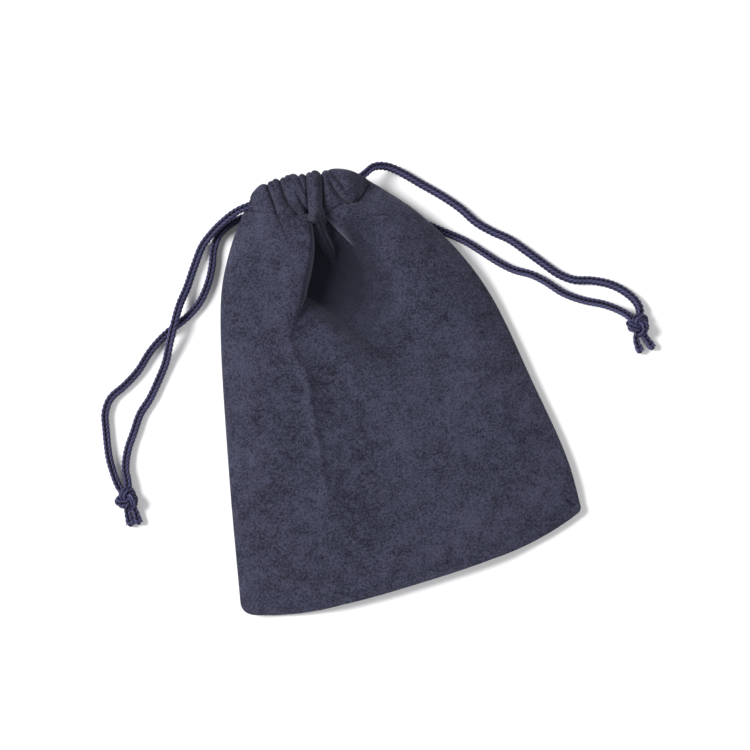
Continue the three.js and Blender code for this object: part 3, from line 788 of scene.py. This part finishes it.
# painted shade: how deep each place of the front lies in a crease or in the hollow
fold = painted_fold_shade(front_middle, hollow)
front_left = shell_part("front_panel_left_half", upper, lower, slice(0, split + 1), suede, fold)
front_right = shell_part("front_panel_right_half", upper, lower, slice(split, None), suede, fold)


def lift_with_the_lip(piece):
    """Bakes the piece's place into its mesh."""
    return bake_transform(piece)


for piece, side in ((front_left, "left"), (front_right, "right")):
    lift_with_the_lip(piece)
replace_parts(front_left, "front_panel", "front_casing")

back_creases = [
    ([(-10, 60, 2), (-9.8, 54, 2), (-9.4, 48, 1.2), (-9.6, 42, 0)], 0.7),
    ([(-6, 60, 2), (-5.8, 54, 2), (-5, 47, 1.4), (-5.4, 38, 0)], 0.7),
    ([(-1, 60, 2), (-1.2, 54, 2), (-1, 46, 1.4), (-2.6, 34, 0)], 0.7),
    ([(3.2, 60, 2), (3, 54, 2), (3.4, 46, 1.5), (4, 33, 0)], 0.7),
    ([(6.6, 60, 2), (6.8, 54, 2), (8, 46, 1.2), (10.5, 36, 0)], 0.7),
]


def back_place(share, turned):
    """The back sheet in three dimensions: it lies flat, and its sides rise to the seams."""
    x, y, s, around, below, from_bottom = laid_out(share, turned, back_edges, 1.0, 0.75, (90, 91))
    rise = 1 - (1 - ease(np.abs(s), 0.4, 0.95)) * ease(from_bottom, 0, 6)
    z = mix(0.42, seam_height(y) - seam_gap, rise)
    z = mix(z, back_casing_height, ease(y, 44, 51))
    folds = np.zeros_like(z)
    for path, width in back_creases:
        crease(folds, x, y, path, width)
    z = z - folds * ease(y, 30, 46) * 0.9
    bulge = (roll - 0.05) * ease(below, hem_depth, hem_depth - 4.5) * ease(y, 44, 51)
    z = z - np.sin(around) * bulge + np.where(turned < 0, hem_above, 0) * (1 - np.cos(around))
    return np.stack([x, y, np.maximum(z, 0.41)], -1)


back_across = spread(181, lambda place: 1 + 3 * np.exp(-np.minimum(place, 1 - place) / 0.012))
back_along = outer_length - (outer_length + inner_length) * spread(
    240, lambda place: 1 + 2.0 * ease(place, 0.6, 0.8) + 3 * np.exp(-place / 0.01))
inner, outer = shell_layers(back_place(*np.meshgrid(back_across, back_along)), cloth)
back = shell_part("back_panel_sheet", inner, outer, slice(None), suede)
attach(back, "pouch_back")
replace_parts(back, "back_panel", "back_casing")

# ---- cords inside the casings ----
# Each cord goes through the front casing, turns back at the far side of the mouth, and comes back
# through the back casing. It follows the gathers that it holds. The stretch that a pull at the knot
# draws out of each casing lies straight, and moves with the knot.
pull = 6 * MM
squeezed = 0.8
under_the_arch = 0.8
runs_y = {"left": (56.1, 54.6), "right": (53.2, 51.6)}
ends_x = {"left": (-14.2, 9.4), "right": (-11.8, 15.2)}
back_z = 2.4
middle_x = 2.0
for side, cord in cords.items():
    front_y, back_y = runs_y[side]
    low_x, high_x = ends_x[side]
    x = np.linspace(low_x, high_x, 90)
    z = arch(x) - under_the_arch
    for path, width in front_creases[:casing_creases]:
        crease(z, x, np.full_like(x, front_y), path, width * 1.5)
    z = np.convolve(np.pad(z, 2, "edge"), np.ones(5) / 5, "valid")
    front_run = np.c_[x, np.full_like(x, front_y), z] * MM
    if side == "right":
        # it dips before it turns back, and ends where its strand comes out
        front_run[:, 2] -= 1.5 * MM * ease(x, -7, -11)
        outside = np.array(cord["front"][0])
        straight = np.c_[x * MM, np.full_like(x, outside[1]), np.full_like(x, outside[2])]
        front_run = mix(front_run, straight, ease(x, 9, high_x)[:, None])
    for half, chosen in (("left", x <= middle_x + 0.2), ("right", x >= middle_x - 0.2)):
        held = knit(f"{side}_cord_in_front_casing_{half}_half", front_run[chosen], squeezed)
        lift_with_the_lip(held)
    back_x = np.linspace(-14.2, 9.2, 40)
    back_run = np.c_[back_x, np.full_like(back_x, back_y), np.full_like(back_x, back_z)] * MM
    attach(knit(f"{side}_cord_in_back_casing", back_run, 0.85), "pouch_back")
    across_the_mouth = 1 if side == "left" else -1
    drawn = []
    for layer, run_y in zip(("front", "back"), runs_y[side]):
        outside = np.array(cord[layer][0])
        inner = np.array([outside[0] + across_the_mouth * (pull + 0.2 * MM), run_y * MM, outside[2]])
        drawn.append(knit("drawn", [inner, (inner + outside) / 2, outside], 0.92))
    drawn_out = joined(f"{side}_cord_drawn_out", drawn)
    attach(drawn_out, side + "_pull")
    start = front_run[-1 if side == "left" else 0] / MM
    reach = (2.6 if side == "left" else 1.2) * across_the_mouth
    turn = smooth_path(np.array([
        start, start + (0.6 * reach, 0, -0.7),
        (start[0] + reach, (front_y + back_y) / 2, (start[2] + back_z) / 2),
        (start[0] + 0.6 * reach, back_y, back_z + 0.5), (start[0], back_y, back_z)]) * MM)
    turned = knit(f"{side}_cord_return_knitted", turn, squeezed)
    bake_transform(turned)
    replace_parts(turned, f"{side}_cord_return")


# ---- seam allowances ----
# The cut edges of both panels, 5 mm wide, turned to the inside along the sides and the bottom.
allowance_from, allowance_width = 1.6, 4.4


def allowance(name, place):
    grid = np.meshgrid(np.linspace(0, 1, 7), np.linspace(0, 1, 90))
    strip_up, strip_down = shell_layers(place(*grid), cloth)
    made = shell_part(name + "_strip", strip_up, strip_down, slice(None), suede)
    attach(made, "pouch_back")
    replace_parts(made, name)


def side_strip(side):
    share, into = (0, 1) if side == "left" else (1, -1)

    def place(depth, run):
        x, y, _ = plan(share, mix(0.09, 0.84, run), front_edges)
        x = x + into * (allowance_from + allowance_width * depth)
        z = seam_height(y) + 0.25 * np.sin(run * 40 + depth) * depth
        return np.stack([x, y, z], -1)[:, ::into]
    return place


def bottom_place(share, inset):
    x, y, _ = plan(share, 0, front_edges)
    return x, y - bottom_bow * (1 - np.abs(2 * share - 1) ** 3) + inset


def bottom_strip(run, depth):
    x, y = bottom_place(mix(0.07, 0.93, run), allowance_from + allowance_width * depth)
    return np.stack([x, y, 1.95 + 0.2 * np.sin(run * 30) * depth], -1)


allowance("left_seam_allowance", side_strip("left"))
allowance("right_seam_allowance", side_strip("right"))
allowance("bottom_seam_allowance", bottom_strip)


# ---- stitching ----
# Navy polyester thread, 0.4 mm thick: lock stitches 2.4 mm apart close the seams from the inside, and
# hold each hem down along the foot of its casing.
def thread_look(start):
    place = start.node("ShaderNodeTexCoord", out=3)
    ply = start.node("ShaderNodeTexWave", {"Vector": place, "Scale": 900.0, "Distortion": 3.0}, out=1)
    return ({"Specular IOR Level": 0.25},
            {"Base Color": shaded(start, ply, (0.003, 0.003, 0.007), (0.014, 0.014, 0.027)),
             "Roughness": ply * 0.2 + 0.45})


thread = finish_material("sewing_thread", (0.02, 0.02, 0.04), thread_look)


def stitch_tree():
    """Stitches along a curve, each a bite of thread that is fuller in the middle."""
    tree, given = new_tree("sewn_line", [
        ("Geometry", "Geometry"), ("Pitch", "Float"), ("Length", "Float"), ("Thickness", "Float"),
        ("Material", "Material")])
    places = given.node("GeometryNodeCurveToPoints", {
        "Curve": given.out("Geometry"), "Length": given.out("Pitch")}, mode="LENGTH")
    bite = given.node("GeometryNodeMeshUVSphere", {"Segments": 8, "Rings": 8, "Radius": 0.5})
    size = given.node("ShaderNodeCombineXYZ", {
        0: given.out("Thickness"), 1: given.out("Thickness"), 2: given.out("Length")})
    row = given.node("GeometryNodeInstanceOnPoints", {
        "Points": places, "Instance": bite, "Rotation": places.out("Rotation"), "Scale": size})
    whole = given.node("GeometryNodeRealizeInstances", {"Geometry": row})
    given.node("NodeGroupOutput", {0: given.node("GeometryNodeSetMaterial", {
        "Geometry": whole, "Material": given.out("Material")})})
    return tree


sewn_line = stitch_tree()
stitch_inset = 1.3


def stitches(name, path):
    made = grown(name, curve_object(path), sewn_line, {
        "Pitch": 2.2 * MM, "Length": 1.7 * MM, "Thickness": 0.36 * MM, "Material": thread})
    return made


def laid_on(sheets, line, lift):
    """A line of (x, y) in millimetres, dropped from above onto the sheets."""
    bpy.context.view_layer.update()
    ready = bpy.context.evaluated_depsgraph_get()
    trees = [BVHTree.FromObject(sheet, ready) for sheet in sheets]
    found = []
    for x, y in smooth_path(line, 12):
        hits = [tree.ray_cast((x * MM, y * MM, 0.1), (0, 0, -1))[0] for tree in trees]
        heights = [hit[2] for hit in hits if hit]
        if heights:
            found.append((x * MM, y * MM, max(heights) + lift * MM))
    return np.array(found)


sewn = laid_on([front_left, front_right], front_stitch_line[1:-2], -0.02)
for half, chosen in (("left", sewn[:, 0] <= middle_x * MM), ("right", sewn[:, 0] > middle_x * MM)):
    row = lift_with_the_lip(stitches(f"front_casing_stitches_{half}_half", sewn[chosen]))
    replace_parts(row, "front_casing_stitching")
back_line = laid_on([back], [(-16, 47.5), (-6, 46.6), (4, 46.4), (14, 47)], 0.05)
back_row = stitches("back_casing_stitches", back_line)
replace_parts(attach(back_row, "pouch_back"), "back_casing_stitching")
for side, share, into in (("left", 0, 1), ("right", 1, -1)):
    x, y, _ = plan(share, np.linspace(0.02, 0.88, 120), front_edges)
    row = stitches(f"{side}_seam_stitches", np.c_[x + into * stitch_inset, y, seam_height(y)] * MM)
    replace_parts(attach(row, "pouch_back"), f"{side}_seam_stitching")
x, y = bottom_place(np.linspace(0.03, 0.97, 90), stitch_inset)
row = stitches("bottom_seam_stitches", np.c_[x, y, seam_height(y)] * MM)
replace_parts(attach(row, "pouch_back"), "bottom_seam_stitching")

# ---- floor and light ----
floor = mesh_object("floor", [(-3, -3, 0), (3, -3, 0), (3, 3, 0), (-3, 3, 0)], [(0, 1, 2, 3)])
floor.data.materials.append(finish_material("paper", (0.9, 0.9, 0.9), lambda start: (
    {"Base Color": (0.86, 0.86, 0.87, 1), "Roughness": 0.9, "Specular IOR Level": 0.2}, {})))


def soft_light(name, place, size, power):
    light = bpy.data.objects.new(name, bpy.data.lights.new(name, "AREA"))
    light.data.shape = "DISK"
    light.data.size = size
    light.data.energy = power
    light.location = place
    towards = np.array(place) - aim
    light.rotation_euler = (math.acos(towards[2] / np.linalg.norm(towards)), 0,
                            math.atan2(towards[1], towards[0]) + math.pi / 2)
    scene.collection.objects.link(light)


soft_light("key", (-0.85, 0.4, 0.9), 0.6, 27)
soft_light("fill", (0.4, -0.9, 0.9), 1.0, 9)
sky = bpy.data.worlds.new("studio")
sky.use_nodes = True
sky.node_tree.nodes["Background"].inputs["Color"].default_value = (1, 1, 1, 1)
sky.node_tree.nodes["Background"].inputs["Strength"].default_value = 0.32
scene.world = sky
scene.view_settings.view_transform = "Standard"

bpy.data.objects.remove(round_of_stitches)
